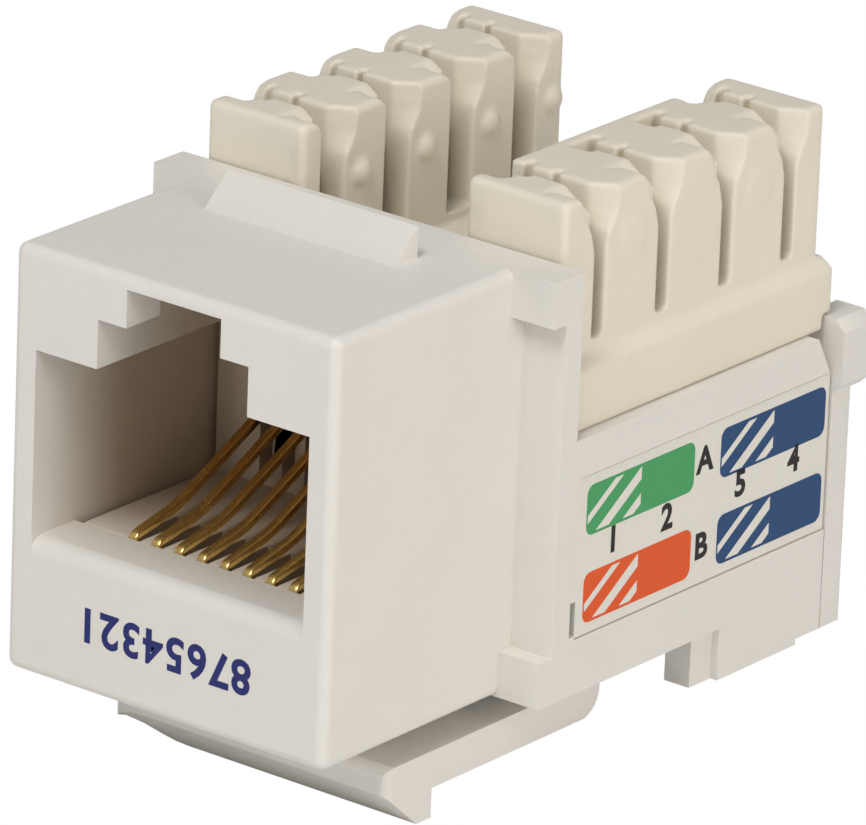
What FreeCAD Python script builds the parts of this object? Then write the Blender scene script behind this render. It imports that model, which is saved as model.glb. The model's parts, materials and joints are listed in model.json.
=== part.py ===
"""Keystone jack: a modular socket with a punch-down block on top.

X runs across the front face, Y from the front face into the jack, Z up.  The sizes and the sketches
count from the bottom edge of the front face, in the middle.  Every piece's Placement then puts the
origin under the middle of the jack, level with the tooth of its spring latch.
"""
import FreeCAD
import Part
import math
import os
import re

import Sketcher

# name, millimetres, what it is
SIZE_TABLE = [
    ("block_width", 14.2, "front block across X"),
    ("block_height", 15.7, "front block up Z"),
    ("block_depth", 9.6, "front face to the front of the flange"),
    ("block_round", 0.4, "rounded outer edges of the front block"),
    ("flange_width", 17.8, "flange and body across X"),
    ("flange_thick", 1.6, "flange along Y"),
    ("tab_height", 1.7, "full-thickness tabs at the ends of each ear"),
    ("tab_proud", 0.7, "how far the tabs stand in front of the ear"),
    ("body_length", 14.9, "side walls behind the flange"),
    ("body_height", 9.5, "side walls above the underside"),
    ("side_wall", 1.2, "thickness of a side wall"),
    ("wall_bevel", 0.9, "cut corner at the top rear of a side wall, along Y"),
    ("wall_bevel_drop", 1.7, "the same cut corner down Z"),
    ("floor_thick", 1.1, "floor between the side walls"),
    ("floor_length", 5.6, "floor behind the flange, up to the rear cover"),
    ("cheek", 1.07, "front block on each side of the plug opening"),
    ("lip_height", 5.1, "top of the lip under the plug opening"),
    ("lip_depth", 2.3, "lip along Y"),
    ("lip_round", 0.6, "rounded front edge of the lip"),
    ("opening_height", 6.9, "plug opening above the lip"),
    ("key_width", 6.62, "wide step of the latch notch"),
    ("key_height", 1.8, "wide step above the plug opening"),
    ("hook_width", 4.14, "narrow step of the latch notch"),
    ("hook_height", 1.4, "narrow step above the wide one"),
    ("hook_wall", 1.8, "wall that the latch of a plug hooks behind"),
    ("hook_lip", 0.25, "roof behind that wall, below the top of the notch"),
    ("comb_lead", 0.1, "front of the comb behind the front of the flange"),
    ("catch_width", 8.4, "fixed catch on top, across X"),
    ("catch_shift", 0.3, "middle of the catch, left of the centre plane"),
    ("catch_lead", 2.6, "foot of the catch ramp in front of the flange"),
    ("catch_length", 1.3, "catch ramp along Y"),
    ("catch_height", 1.15, "catch ramp above the block"),
    ("label_length", 14.5, "wiring label along Y"),
    ("label_height", 5.9, "wiring label up Z"),
    ("label_thick", 0.12, "sticker thickness"),
    ("label_bottom", 2.1, "lower edge of the label"),
    ("label_gap", 0.05, "recess round the label"),
    ("vent_length", 0.35, "slot beside the label, along Y"),
    ("vent_height", 1.3, "slot beside the label, up Z"),
    ("arm_width", 13.6, "spring latch across X"),
    ("arm_thick", 1.4, "spring latch thickness"),
    ("arm_gap", 1.15, "space between the block and the arm"),
    ("arm_front", 3.95, "front edge of the arm behind the front face"),
    ("arm_nose", 1.0, "upright front face of the arm"),
    ("nose_round", 0.45, "rounded top of that face"),
    ("ramp_length", 1.75, "catch ramp of the arm along Y"),
    ("tooth_depth", 1.1, "tooth below the arm"),
    ("tooth_flat", 0.8, "flat under the tooth"),
    ("corner_left", 3.0, "rounded front corner of the arm, left"),
    ("corner_right", 0.4, "rounded front corner of the arm, right"),
    ("hinge_lead", 3.2, "bend of the arm behind the flange"),
    ("root_length", 1.55, "root of the arm behind its bend"),
    ("root_round", 1.0, "rounded outer corner of the root"),
    ("hinge_gap", 0.05, "running gap at the root of the arm"),
    ("fit_gap", 0.1, "clearance between pieces that slide together"),
    ("bed_height", 2.95, "floor that the contact insert sits on"),
    ("insert_round", 0.35, "rounded front edge of the contact insert"),
    ("insert_gap", 0.2, "space beside the contact insert"),
    ("pin_block_length", 12.05, "contact insert along Y"),
    ("pin_block_width", 9.2, "back of the insert, over the contact pins"),
    ("comb_thick", 1.3, "comb wall behind the plug"),
    ("comb_height", 6.75, "comb wall above the insert"),
    ("comb_sill", 0.3, "bottom of the comb slots above the insert"),
    ("comb_head", 2.0, "comb wall above its slots"),
    ("contact_pitch", 1.016, "spacing of the contacts"),
    ("wire_width", 0.36, "contact strip across X"),
    ("wire_thick", 0.3, "contact strip thickness"),
    ("wire_slot", 0.56, "slots for the contacts"),
    ("wire_slot_length", 2.9, "slots along Y"),
    ("turn_lead", 0.25, "turn of a contact behind the lip"),
    ("turn_height", 4.4, "foot of the turn"),
    ("turn_round", 0.3, "radius of the turn"),
    ("knee_reach", 2.35, "knee of a contact behind its turn"),
    ("knee_rise", 0.5, "knee above the lip"),
    ("knee_round", 5.0, "radius of the knee"),
    ("comb_reach", 0.55, "end of a contact behind the front of the comb"),
    ("comb_rise", 3.1, "end of a contact above the lip"),
    ("tail_height", 3.5, "contacts under the insert"),
    ("pin_row", 1.9, "spacing of the two rows of contact pins"),
    ("pin_lead", 0.55, "first row of contact pins behind the flange"),
    ("board_thick", 1.2, "circuit board"),
    ("board_top", 2.95, "upper face of the circuit board"),
    ("board_lead", 0.4, "circuit board under the flange"),
    ("board_length", 14.8, "circuit board along Y"),
    ("pin_reach", 0.6, "pins below the circuit board"),
    ("skirt_width", 16.9, "punch-down block above the side walls"),
    ("skirt_top", 11.75, "top of the skirt"),
    ("skirt_slope", 0.35, "bevel on top of the skirt"),
    ("block_underside", 5.15, "underside of the punch-down block"),
    ("leg_thick", 1.1, "legs of the punch-down block"),
    ("idc_length", 15.2, "punch-down block along Y"),
    ("tower_length", 14.9, "tower rows along Y"),
    ("tower_top", 17.85, "top of the towers"),
    ("tower_outer", 7.95, "outer face of a tower row"),
    ("tower_width", 4.35, "tower row across X"),
    ("tower_round", 0.25, "rounded edges of the towers"),
    ("slot_lead", 2.15, "first wire slot behind the flange"),
    ("slot_pitch", 3.65, "spacing of the wire slots"),
    ("slot_width", 0.62, "wire slot"),
    ("slot_floor", 12.5, "bottom of the wire slots"),
    ("heel_length", 0.95, "cut top corner in front of a slot, along Y"),
    ("corner_depth", 2.2, "height of the cut corners beside a slot"),
    ("corner_bevel", 0.65, "cut corner behind a slot at the right end of a row, along Y"),
    ("corner_curve", 1.2, "the same at the left end of a row"),
    ("corner_reach", 0.9, "both measured in from the end of the row"),
    ("relief_length", 0.7, "wider part of a slot at the inner face, along Y"),
    ("relief_reach", 0.95, "the same measured in from the inner face"),
    ("relief_round", 0.6, "rounded top of the relief"),
    ("well_front", 1.7, "well for a blade in front of the middle of its slot"),
    ("well_back", 0.75, "well behind the middle of the slot"),
    ("well_left", 0.75, "front part of the well, left of the middle of the row"),
    ("well_right", 1.0, "well right of the middle of the row"),
    ("well_step", 0.33, "rear part of the well, left of the middle of the row"),
    ("groove_width", 0.18, "groove in the wall behind a slot"),
    ("groove_lead", 1.0, "groove left of the middle of the row"),
    ("blade_width", 1.44, "forked blade"),
    ("blade_thick", 0.35, "blade sheet"),
    ("blade_top", 16.0, "tips of the blades"),
    ("fork_width", 0.34, "slit between the tines"),
    ("fork_depth", 6.0, "depth of the slit"),
    ("fork_lead", 0.15, "lead-in on each tine, across X"),
    ("fork_lead_depth", 0.5, "lead-in on each tine, down Z"),
    ("blade_pin", 0.6, "pin under a blade"),
    ("nub_height", 15.35, "wire-retaining nubs on the inner faces"),
    ("nub_ball", 0.65, "radius of the ball that forms a nub"),
    ("nub_sunk", 0.35, "middle of the ball behind the inner face"),
    ("nub_offset", 1.25, "a nub beside the slot next to it"),
    ("dot_height", 15.7, "ejector marks on the outer faces"),
    ("dot_radius", 0.7, "radius of an ejector mark"),
    ("dot_proud", 0.05, "how far an ejector mark stands out"),
    ("cover_thick", 1.3, "rear wall of the rear cover"),
    ("cover_top", 9.6, "top of the rear wall"),
    ("cover_drop", 1.75, "rear wall below the underside"),
    ("cover_round", 0.3, "rounded rear corners of the cover"),
    ("plate_thick", 1.0, "bottom plate of the rear cover"),
    ("rail_height", 0.65, "rails that carry the circuit board"),
    ("rail_width", 1.2, "rails across X"),
    ("skid_length", 6.0, "lower edge of a side wall along Y"),
    ("foot_width", 1.4, "feet across X"),
    ("foot_length", 5.9, "feet along Y"),
    ("foot_inset", 0.3, "front of a foot, in from the side face"),
    ("foot_step", 1.25, "that inset part along Y"),
    ("foot_drop", 1.97, "feet below the underside"),
    ("foot_lead", 1.4, "rear end of the feet in front of the rear cover"),
    ("head_height", 2.4, "heads of the cover posts"),
    ("head_top", 0.4, "heads above the rear wall"),
    ("head_width", 1.2, "heads across X"),
    ("head_proud", 0.4, "how far a head stands out"),
    ("overshoot", 1.0, "how far a cut runs past the face it opens"),
]

# ---------------------------------------------------------------- shared places
HALF_BLOCK = "<block_width> / 2"
HALF_FLANGE = "<flange_width> / 2"
FLANGE_BACK = "(<block_depth> + <flange_thick>)"
BODY_BACK = "(<block_depth> + <flange_thick> + <body_length>)"
HALF_PORT = "(<block_width> / 2 - <cheek>)"
COMB_FRONT = "(<block_depth> + <comb_lead>)"
PORT_TOP = "(<lip_height> + <opening_height>)"
KEY_TOP = "(<lip_height> + <opening_height> + <key_height>)"
HOOK_TOP = "(<lip_height> + <opening_height> + <key_height> + <hook_height>)"
INNER_WALL = "(<flange_width> / 2 - <side_wall>)"
ARM_MIDDLE = "(-<arm_gap> - <arm_thick> / 2)"
HINGE_Y = f"({FLANGE_BACK} + <hinge_lead>)"
BOARD_FRONT = f"({FLANGE_BACK} - <board_lead>)"
SEAT_Y = f"-({BODY_BACK} + <fit_gap> / 2 + <cover_thick> + <head_proud>) / 2"
SEAT_Z = "(<arm_gap> + <arm_thick> + <tooth_depth>)"


doc = FreeCAD.newDocument("KeystoneJack")
sheet = doc.addObject("Spreadsheet::Sheet", "Sizes")
for row, (alias, value, note) in enumerate(SIZE_TABLE, start=1):
    sheet.set(f"A{row}", str(value))
    sheet.setAlias(f"A{row}", alias)
    sheet.set(f"B{row}", note)
doc.recompute()


def size(alias):
    """A driving size in millimetres, read from the sheet."""
    return float(sheet.get(alias))


def cells(text):
    """Turn the size names in an expression into references to the sheet."""
    return re.sub(r"<(\w+)>", r"Sizes.\1", text)


def new_body(label):
    body = doc.addObject("PartDesign::Body", label)
    body.Label = label
    body.setExpression("Placement.Base.y", cells(SEAT_Y))
    body.setExpression("Placement.Base.z", cells(SEAT_Z))
    return body


def sketch_on(body, name, plane, offset="0"):
    """A sketch on one of the body's own origin planes, moved along its normal."""
    sketch = body.newObject("Sketcher::SketchObject", name)
    support = [item for item in body.Origin.OriginFeatures if item.Role == plane][0]
    sketch.AttachmentSupport = [(support, "")]
    sketch.MapMode = "FlatFace"
    sketch.setExpression("AttachmentOffset.Base.z", cells(offset))
    return sketch


def outline(sketch, corners):
    """Add a closed outline whose corners are placed by expressions."""
    first = sketch.GeometryCount
    count = len(corners)
    start = [FreeCAD.Vector(math.cos(2 * math.pi * i / count), math.sin(2 * math.pi * i / count), 0)
             for i in range(count)]
    for i in range(count):
        sketch.addGeometry(Part.LineSegment(start[i], start[(i + 1) % count]))
    for i in range(count):
        sketch.addConstraint(Sketcher.Constraint("Coincident", first + i, 2, first + (i + 1) % count, 1))
    for i, (across, along) in enumerate(corners):
        for kind, text in (("DistanceX", across), ("DistanceY", along)):
            index = sketch.addConstraint(Sketcher.Constraint(kind, -1, 1, first + i, 1, 0.5))
            sketch.setExpression(f"Constraints[{index}]", cells(text))


def circle(sketch, across, along, radius):
    """Add a circle placed and sized by expressions."""
    index = sketch.addGeometry(Part.Circle(FreeCAD.Vector(0.5, 0.5, 0), FreeCAD.Vector(0, 0, 1), 0.5))
    for kind, text in (("DistanceX", across), ("DistanceY", along)):
        place = sketch.addConstraint(Sketcher.Constraint(kind, -1, 1, index, 3, 0.5))
        sketch.setExpression(f"Constraints[{place}]", cells(text))
    reach = sketch.addConstraint(Sketcher.Constraint("Radius", index, 0.5))
    sketch.setExpression(f"Constraints[{reach}]", cells(radius))


def pad(body, name, sketch, length, reverse=False, middle=False):
    feature = body.newObject("PartDesign::Pad", name)
    feature.Profile = sketch
    feature.setExpression("Length", cells(length))
    feature.Reversed = reverse
    if middle:
        feature.SideType = "Symmetric"
    return feature


def pocket(body, name, sketch, length, reverse=False, middle=False):
    feature = body.newObject("PartDesign::Pocket", name)
    feature.Profile = sketch
    feature.setExpression("Length", cells(length))
    feature.Reversed = reverse
    if middle:
        feature.SideType = "Symmetric"
    return feature


def step(body, kind, name, plane, offset, corners, length, **options):
    """One pad or pocket from one outline."""
    sketch = sketch_on(body, name + "_sketch", plane, offset)
    outline(sketch, corners)
    return kind(body, name, sketch, length, **options)


def box_corners(left, right, bottom, top):
    return [(left, bottom), (right, bottom), (right, top), (left, top)]


def fillet(body, name, base, radius, wanted):
    """Round the edges of the base feature that the test picks."""
    doc.recompute()
    names = [f"Edge{i}" for i, edge in enumerate(base.Shape.Edges, start=1) if wanted(edge)]
    if not names:
        raise RuntimeError(f"{name} found no edge to round")
    feature = body.newObject("PartDesign::Fillet", name)
    feature.Base = (base, names)
    feature.setExpression("Radius", cells(radius))
    return feature


def along(edge, axis):
    """True for a straight edge that runs along the axis."""
    if len(edge.Vertexes) != 2:
        return False
    run = edge.Vertexes[1].Point - edge.Vertexes[0].Point
    return near(run.Length, edge.Length) and near(abs(run.dot(axis)), run.Length)


def near(value, target):
    return abs(value - target) < 1e-3


X_AXIS = FreeCAD.Vector(1, 0, 0)
Y_AXIS = FreeCAD.Vector(0, 1, 0)
Z_AXIS = FreeCAD.Vector(0, 0, 1)


def pattern(body, name, originals, count, spacing):
    """Repeat features along Y."""
    feature = body.newObject("PartDesign::LinearPattern", name)
    feature.Originals = originals
    direction = [item for item in body.Origin.OriginFeatures if item.Role == "Y_Axis"][0]
    feature.Direction = (direction, [""])
    feature.Occurrences = count
    feature.setExpression("Length", cells(f"{spacing} * {count - 1}"))
    body.Tip = feature
    return feature


# ---------------------------------------------------------------- front housing
def make_front_housing():
    """The white moulding: front block with the plug opening, flange, side walls and fixed catch."""
    body = new_body("front_housing")
    block = step(body, pad, "block", "XZ_Plane", "0",
                 box_corners(f"-{HALF_BLOCK}", HALF_BLOCK, "0", "<block_height>"),
                 "<block_depth>", reverse=True)
    fillet(body, "block_rounds", block, "<block_round>",
           lambda edge: along(edge, Y_AXIS) or near(edge.CenterOfMass.y, 0))
    step(body, pad, "flange", "XZ_Plane", "-<block_depth>",
         box_corners(f"-{HALF_FLANGE}", HALF_FLANGE, "0", "<block_height>"),
         "<flange_thick>", reverse=True)
    foot_back = f"({BODY_BACK} - <foot_lead>)"
    foot_front = f"({foot_back} - <foot_length>)"
    for side, sign in (("left", "-"), ("right", "")):
        step(body, pad, f"wall_{side}", "YZ_Plane", f"{sign}{HALF_FLANGE}",
             [(FLANGE_BACK, "0"), (f"{BODY_BACK} - <skid_length>", "0"),
              (f"{BODY_BACK} - <skid_length>", "-<cover_drop>"), (BODY_BACK, "-<cover_drop>"),
              (BODY_BACK, "<body_height> - <wall_bevel_drop>"),
              (f"{BODY_BACK} - <wall_bevel>", "<body_height>"), (FLANGE_BACK, "<body_height>")],
             "<side_wall>", reverse=sign == "")
        step(body, pad, f"foot_{side}", "XY_Plane", "-<foot_drop>",
             box_corners(f"{sign}({HALF_FLANGE} - <foot_width>)", f"{sign}{HALF_FLANGE}",
                         foot_front, foot_back), "<foot_drop>")
        step(body, pocket, f"foot_step_{side}", "XY_Plane", "0",
             box_corners(f"{sign}({HALF_FLANGE} - <foot_inset>)", f"{sign}({HALF_FLANGE} + <overshoot>)",
                         f"{foot_front} - <overshoot>", f"{foot_front} + <foot_step>"),
             "<foot_drop> + <overshoot>")
        step(body, pocket, f"ear_{side}", "XZ_Plane", "-<block_depth>",
             box_corners(f"{sign}{HALF_BLOCK}", f"{sign}({HALF_FLANGE} + <overshoot>)",
                         "<tab_height>", "<block_height> - <tab_height>"),
             "<tab_proud>", reverse=False)
        step(body, pocket, f"label_recess_{side}", "YZ_Plane", f"{sign}{HALF_FLANGE}",
             box_corners(f"({FLANGE_BACK} + <vent_length> - <label_gap>)",
                         f"{BODY_BACK} + <overshoot>", "<label_bottom> - <label_gap>",
                         "<label_bottom> + <label_height> + <label_gap>"),
             "<label_thick> + <fit_gap> / 2", reverse=sign == "-")
        step(body, pocket, f"vent_{side}", "YZ_Plane", f"{sign}{HALF_FLANGE}",
             box_corners(FLANGE_BACK, f"{FLANGE_BACK} + <vent_length>",
                         "<label_bottom> + <fit_gap>", "<label_bottom> + <fit_gap> + <vent_height>"),
             "<side_wall>", reverse=sign == "-")
    step(body, pad, "floor", "XZ_Plane", f"-{FLANGE_BACK}",
         box_corners(f"-{INNER_WALL}", INNER_WALL, "0", "<floor_thick>"),
         "<floor_length>", reverse=True)
    catch_front = "(<block_depth> - <catch_lead>)"
    step(body, pad, "catch", "YZ_Plane", "-<catch_shift>",
         [(catch_front, "<block_height>"), (f"{catch_front} + <catch_length>", "<block_height>"),
          (f"{catch_front} + <catch_length>", "<block_height> + <catch_height>")],
         "<catch_width>", middle=True)
    # The root of the spring latch turns down from the floor and ends in a socket for the arm.
    root_back = f"({HINGE_Y} + <root_length>)"
    root = step(body, pad, "latch_root", "YZ_Plane", "0",
                [(HINGE_Y, "-<arm_gap>"), (f"{root_back} - <arm_thick>", "-<arm_gap>"),
                 (f"{root_back} - <arm_thick>", "0"), (root_back, "0"),
                 (root_back, "-<arm_gap> - <arm_thick>"), (HINGE_Y, "-<arm_gap> - <arm_thick>")],
                "<arm_width>", middle=True)

    def outer_corner(edge):
        centre = edge.CenterOfMass
        back = size("block_depth") + size("flange_thick") + size("hinge_lead") + size("root_length")
        return (along(edge, X_AXIS) and near(centre.y, back) and
                near(centre.z, -size("arm_gap") - size("arm_thick")))

    fillet(body, "root_rounding", root, "<root_round>", outer_corner)
    socket = sketch_on(body, "latch_socket_sketch", "YZ_Plane")
    circle(socket, HINGE_Y, ARM_MIDDLE, "<arm_thick> / 2 + <hinge_gap>")
    pocket(body, "latch_socket", socket, "<arm_width> + <overshoot>", middle=True)
    # Plug opening, with the stepped notch for the plug's latch.
    step(body, pocket, "opening", "XZ_Plane", "0",
         box_corners(f"-{HALF_PORT}", HALF_PORT, "<lip_height>", PORT_TOP),
         f"{FLANGE_BACK}", reverse=False)
    step(body, pocket, "key", "XZ_Plane", "0",
         box_corners("-<key_width> / 2", "<key_width> / 2", PORT_TOP, KEY_TOP), COMB_FRONT)
    step(body, pocket, "hook", "XZ_Plane", "0",
         box_corners("-<hook_width> / 2", "<hook_width> / 2", KEY_TOP, HOOK_TOP), "<hook_wall>")
    step(body, pocket, "hook_room", "XZ_Plane", "-<hook_wall>",
         box_corners("-<key_width> / 2", "<key_width> / 2", PORT_TOP, f"{HOOK_TOP} - <hook_lip>"),
         f"{COMB_FRONT} - <hook_wall>")
    step(body, pocket, "insert_bed", "XZ_Plane", "-<lip_depth>",
         box_corners(f"-{HALF_PORT}", HALF_PORT, "<bed_height>", "<lip_height>"),
         f"{FLANGE_BACK} - <lip_depth>")
    bed = step(body, pocket, "board_bay", "XZ_Plane", f"-{BOARD_FRONT} + <fit_gap>",
               box_corners(f"-{INNER_WALL}", INNER_WALL,
                           "<board_top> - <board_thick> - <fit_gap>", "<board_top>"),
               f"{FLANGE_BACK} - {BOARD_FRONT} + <fit_gap>")

    def lip_edge(edge):
        centre = edge.CenterOfMass
        return along(edge, X_AXIS) and near(centre.y, 0) and near(centre.z, size("lip_height"))

    fillet(body, "lip_rounding", bed, "<lip_round>", lip_edge)
    return body


def make_latch_arm():
    """The spring latch under the block, from its tooth back to the bend at its root."""
    body = new_body("latch_arm")
    half = "<arm_width> / 2"
    ramp_back = "(<arm_front> + <ramp_length>)"
    under = "(-<arm_gap> - <arm_thick>)"
    tooth = "(-<arm_gap> - <arm_thick> - <tooth_depth>)"
    nose = "(-<arm_gap> - <arm_nose>)"
    plan = step(body, pad, "plan", "XY_Plane", "-<arm_gap>",
                box_corners(f"-{half}", half, "<arm_front>", HINGE_Y),
                "<arm_thick> + <tooth_depth>", reverse=True)
    fillet(body, "nose_rounding", plan, "<nose_round>",
           lambda edge: along(edge, X_AXIS) and near(edge.CenterOfMass.z, -size("arm_gap")) and
           near(edge.CenterOfMass.y, size("arm_front")))
    for side, sign in (("left", "-"), ("right", "")):
        radius = f"<corner_{side}>"
        arc = [(f"{sign}({half} - {radius} * {1 - math.cos(math.radians(angle)):.5f})",
                f"<arm_front> + {radius} * {1 - math.sin(math.radians(angle)):.5f}")
               for angle in range(0, 91, 9)]
        step(body, pocket, f"plan_corner_{side}", "XY_Plane", "0",
             arc + [(arc[-1][0], "<arm_front> - <overshoot>"),
                    (f"{sign}({half} + <overshoot>)", "<arm_front> - <overshoot>"),
                    (f"{sign}({half} + <overshoot>)", arc[0][1])],
             "<arm_gap> + <arm_thick> + <tooth_depth> + <overshoot>")
    step(body, pocket, "ramp", "YZ_Plane", "0",
         [("<arm_front> - <overshoot>", nose), ("<arm_front>", nose), (ramp_back, tooth),
          (ramp_back, f"{tooth} - <overshoot>"),
          ("<arm_front> - <overshoot>", f"{tooth} - <overshoot>")],
         "<arm_width> + <overshoot>", middle=True)
    step(body, pocket, "behind_tooth", "YZ_Plane", "0",
         box_corners(f"{ramp_back} + <tooth_flat>", f"{HINGE_Y} + <overshoot>",
                     f"{tooth} - <overshoot>", under),
         "<arm_width> + <overshoot>", middle=True)
    knuckle = sketch_on(body, "knuckle_sketch", "YZ_Plane")
    circle(knuckle, HINGE_Y, ARM_MIDDLE, "<arm_thick> / 2")
    pad(body, "knuckle", knuckle, "<arm_width>", middle=True)
    return body


# ---------------------------------------------------------------- contacts and their carrier
def contact_across(number):
    """Expression for the X place of a contact, numbered from 1."""
    return f"({number - 4.5} * <contact_pitch>)"


def pin_along(number):
    """Expression for the Y place of a contact's pin: the pins stand in two staggered rows."""
    return f"({FLANGE_BACK} + <pin_lead> + {number % 2} * <pin_row>)"


def make_contact_insert():
    """The white carrier in the plug opening, slotted for the contacts, with a comb at its back."""
    body = new_body("contact_insert")
    half = f"({HALF_PORT} - <insert_gap>)"
    front = "(<lip_depth> + <fit_gap> / 2)"
    top = "(<lip_height> - <fit_gap>)"
    bed = step(body, pad, "bed", "XZ_Plane", f"-{front}",
               box_corners(f"-{half}", half, "<bed_height>", top),
               f"{COMB_FRONT} + <comb_thick> - {front}", reverse=True)

    def front_edge(edge):
        centre = edge.CenterOfMass
        return (along(edge, X_AXIS) and centre.y < size("lip_depth") + size("fit_gap") and
                centre.z > size("bed_height") + size("fit_gap"))

    fillet(body, "bed_rounding", bed, "<insert_round>", front_edge)
    step(body, pad, "pin_block", "XZ_Plane", f"-{front} - <insert_round>",
         box_corners("-<pin_block_width> / 2", "<pin_block_width> / 2", "<bed_height>", top),
         "<pin_block_length> - <insert_round>", reverse=True)
    step(body, pad, "comb_wall", "XZ_Plane", f"-{COMB_FRONT}",
         box_corners(f"-{half}", half, f"{top} - <fit_gap>", f"{top} + <comb_height>"),
         "<comb_thick>", reverse=True)
    for number in range(1, 9):
        middle = contact_across(number)
        sides = (f"{middle} - <wire_slot> / 2", f"{middle} + <wire_slot> / 2")
        step(body, pocket, f"rise_slot_{number}", "XY_Plane", "<lip_height>",
             box_corners(*sides, f"{front} - <overshoot>", f"{front} + <wire_slot_length>"),
             "<lip_height> - <bed_height> + <overshoot>")
        step(body, pocket, f"wire_groove_{number}", "XZ_Plane", f"-{front}",
             box_corners(*sides, "<bed_height> - <overshoot>", "<tail_height> + <wire_slot> / 2"),
             f"{pin_along(number)} - {front} + <wire_slot> / 2")
        step(body, pocket, f"comb_slot_{number}", "XZ_Plane", f"-{COMB_FRONT}",
             box_corners(*sides, "<lip_height> + <comb_sill>",
                         "<lip_height> + <comb_height> - <comb_head>"),
             "<comb_thick>")
    return body


def bent_strip(label, across, corners, radii):
    """A flat strip on edge in the YZ plane: straight runs joined by tangent arcs, as a solid."""
    points = [FreeCAD.Vector(across, *corner) for corner in corners]
    edges = []
    begin = points[0]
    for before, corner, after, radius in zip(points, points[1:], points[2:], radii):
        inward = (before - corner).normalize()
        onward = (after - corner).normalize()
        half_angle = inward.getAngle(onward) / 2
        reach = radius / math.tan(half_angle)
        first = corner + inward * reach
        last = corner + onward * reach
        bisector = (inward + onward).normalize()
        middle = corner + bisector * (radius / math.sin(half_angle) - radius)
        edges.append(Part.LineSegment(begin, first).toShape())
        edges.append(Part.Arc(first, middle, last).toShape())
        begin = last
    edges.append(Part.LineSegment(begin, points[-1]).toShape())
    heading = (points[1] - points[0]).normalize()
    side = X_AXIS * (size("wire_width") / 2)
    rise = heading.cross(X_AXIS) * (size("wire_thick") / 2)
    rim = [points[0] + side + rise, points[0] - side + rise, points[0] - side - rise,
           points[0] + side - rise]
    sweep = Part.BRepOffsetAPI.MakePipeShell(Part.Wire(edges))
    sweep.setBiNormalMode(X_AXIS)
    sweep.add(Part.makePolygon(rim + rim[:1]))
    sweep.build()
    sweep.makeSolid()
    feature = doc.addObject("Part::Feature", label)
    feature.Label = label
    feature.Shape = sweep.shape()
    feature.setExpression("Placement.Base.y", cells(SEAT_Y))
    feature.setExpression("Placement.Base.z", cells(SEAT_Z))
    return feature


def make_contact(number):
    """The free length of a contact: a turn at the front, then up and back to the comb."""
    turn_y = size("lip_depth") + size("turn_lead")
    lip = size("lip_height")
    corners = [(turn_y, size("turn_height")), (turn_y, lip),
               (turn_y + size("knee_reach"), lip + size("knee_rise")),
               (size("block_depth") + size("comb_lead") + size("comb_reach"), lip + size("comb_rise"))]
    return bent_strip(f"contact_{number}", (number - 4.5) * size("contact_pitch"), corners,
                      [size("turn_round"), size("knee_round")])


def make_contact_tail(number):
    """The fixed length of a contact: its board pin, and the run under the carrier to the front."""
    pin_y = size("block_depth") + size("flange_thick") + size("pin_lead") + (number % 2) * size("pin_row")
    turn_y = size("lip_depth") + size("turn_lead")
    low = size("board_top") - size("board_thick") - size("pin_reach")
    height = size("tail_height")
    corners = [(pin_y, low), (pin_y, height), (turn_y, height),
               (turn_y, size("turn_height") - size("hinge_gap"))]
    return bent_strip(f"contact_tail_{number}", (number - 4.5) * size("contact_pitch"), corners,
                      [size("turn_round"), size("turn_round")])


# ---------------------------------------------------------------- punch-down block
TOWER_INNER = "(<tower_outer> - <tower_width>)"
ROW_CENTRE = "(<tower_outer> - <tower_width> / 2)"
IDC_FRONT = f"({FLANGE_BACK} + <fit_gap>)"
SLOT_Y = f"({FLANGE_BACK} + <slot_lead>)"
SLOT_COUNT = 4

# Cut top corners of the posts beside a slot, as shares of their length and depth from the slot.
HEEL = [(0.0, 1.0), (0.2, 0.66), (0.56, 0.40), (0.62, 0.20), (1.0, 0.0)]
BEVEL = [(0.0, 1.0), (0.1, 0.75), (0.45, 0.61), (0.8, 0.43), (0.93, 0.23), (1.0, 0.0)]
CURVE = [(0.0, 1.0), (0.1, 0.36), (0.2, 0.20), (0.38, 0.09), (0.68, 0.03), (1.0, 0.0)]


def cut_corner(shares, mark, length):
    """Points of a cut corner in the YZ plane, from the slot's edge up and out of the tower."""
    points = [(f"{SLOT_Y} {mark} (<slot_width> / 2 + {length} * {out})",
               f"<tower_top> - <corner_depth> * {down}") for out, down in shares]
    return points + [(points[-1][0], "<tower_top> + <overshoot>")]


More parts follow.
